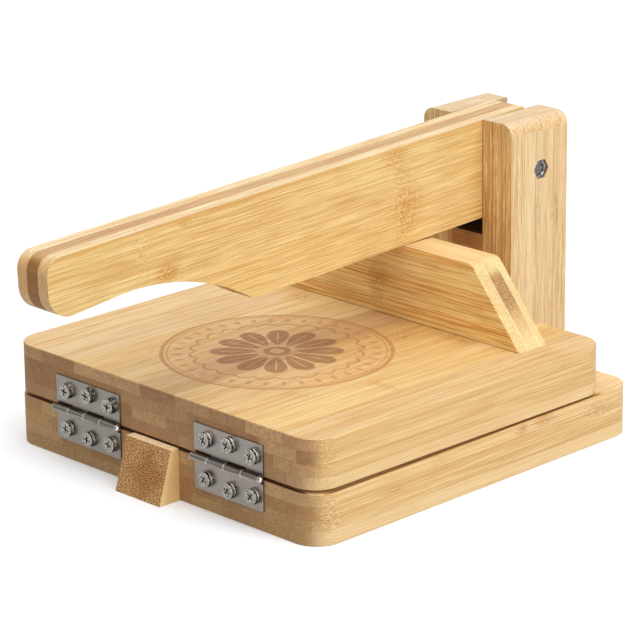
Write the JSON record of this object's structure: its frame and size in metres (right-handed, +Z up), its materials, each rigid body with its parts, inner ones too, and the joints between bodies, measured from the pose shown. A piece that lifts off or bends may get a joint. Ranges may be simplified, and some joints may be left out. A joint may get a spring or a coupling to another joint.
{
  "type": "tortilla press",
  "caption": "Lever tortilla press of laminated bamboo: hinged boards, a pressing rib, rear posts and a long pivoting lever handle.",
  "frame": {"origin": "centre of the base board's underside, on the table", "axes": "+X to the right seen from the hinged front, +Y from the hinged front to the rear posts, +Z up"},
  "size_m": [0.2314, 0.3537, 0.1556],
  "materials": {
    "bamboo_board": "satin oiled bamboo, laminated strips",
    "bamboo_post": "satin oiled bamboo, upright strips",
    "bamboo_ply": "satin oiled bamboo, long strips with nodes",
    "bamboo_core": "satin oiled bamboo, darker middle ply",
    "bamboo_dark": "bamboo end grain",
    "dowel_wood": "plain turned hardwood",
    "hinge_nickel": "satin nickel plate",
    "screw_steel": "bright plated steel"
  },
  "bodies": {
    "base": {"base_board": "bamboo_board", "left_post": "bamboo_post", "right_post": "bamboo_post", "spacer_block": "bamboo_dark", "spacer_dowels": "dowel_wood", "post_screws": "screw_steel", "stop_wedge": "bamboo_dark", "wedge_dowels": "dowel_wood", "left_hinge_base_leaf": "hinge_nickel", "left_hinge_pin": "screw_steel", "right_hinge_base_leaf": "hinge_nickel", "right_hinge_pin": "screw_steel", "left_base_screws": "screw_steel", "right_base_screws": "screw_steel", "pivot_bolt": "screw_steel", "pivot_nut": "screw_steel"},
    "plate": {"press_plate": "bamboo_board", "left_hinge_plate_leaf": "hinge_nickel", "right_hinge_plate_leaf": "hinge_nickel", "left_plate_screws": "screw_steel", "right_plate_screws": "screw_steel", "rib_front_ply": "bamboo_ply", "rib_core_ply": "bamboo_core", "rib_back_ply": "bamboo_ply", "rib_dowels": "dowel_wood"},
    "lever": {"lever_left_ply": "bamboo_ply", "lever_core_ply": "bamboo_core", "lever_right_ply": "bamboo_ply"}
  },
  "joints": [
    {"name": "lever_pivot", "type": "hinge", "parent": "base", "child": "lever", "pos_m": [0, 0.1365, 0.1258], "axis": [-1, 0, 0], "range_deg": [0, 197]},
    {"name": "plate_hinge", "type": "hinge", "parent": "base", "child": "plate", "pos_m": [0, -0.1219, 0.0284], "axis": [1, 0, 0], "range_deg": [0, 150]}
  ],
  "couplings": [
    {"joint": "plate_hinge", "follows": "lever_pivot", "ratio": 0.3509}
  ]
}
